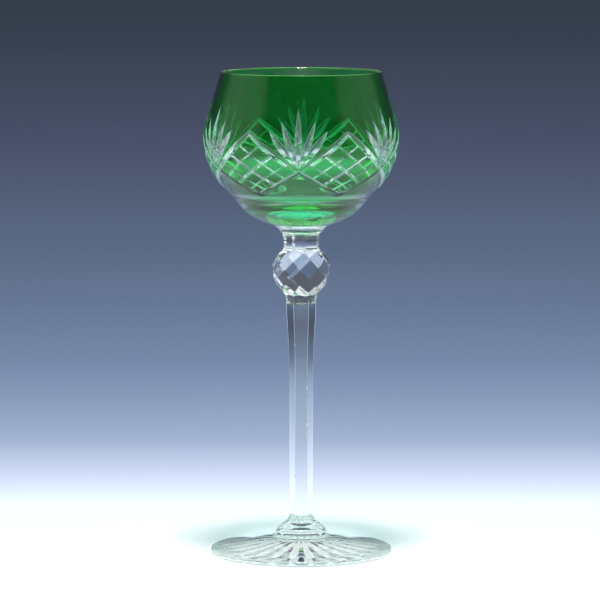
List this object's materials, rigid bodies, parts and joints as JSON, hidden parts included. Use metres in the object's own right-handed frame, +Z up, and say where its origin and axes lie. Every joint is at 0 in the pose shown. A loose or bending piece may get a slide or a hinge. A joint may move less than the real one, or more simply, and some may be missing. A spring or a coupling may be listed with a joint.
{
  "type": "roemer glass",
  "caption": "Tall-stemmed roemer wine glass: round bowl cased in green and wheel-cut to clear, faceted knop, hexagonal shaft, wide round foot with a star cut underneath.",
  "frame": {"origin": "centre of the foot's underside, on the table", "axes": "+Z up along the stem, towards the rim; -Y faces the picture's camera"},
  "size_m": [0.0806, 0.0806, 0.2],
  "materials": {
    "clear_crystal": "polished clear crystal",
    "green_casing": "polished transparent green casing glass"
  },
  "bodies": {
    "root": {"foot": "clear_crystal", "foot_collar": "clear_crystal", "shaft": "clear_crystal", "knop": "clear_crystal", "neck": "clear_crystal", "bowl": "clear_crystal", "casing_base": "green_casing", "casing_field": "green_casing", "lattice_panel_1": "green_casing", "lattice_panel_2": "green_casing", "lattice_panel_3": "green_casing", "lattice_panel_4": "green_casing", "lattice_panel_5": "green_casing", "lattice_panel_6": "green_casing"}
  },
  "joints": []
}
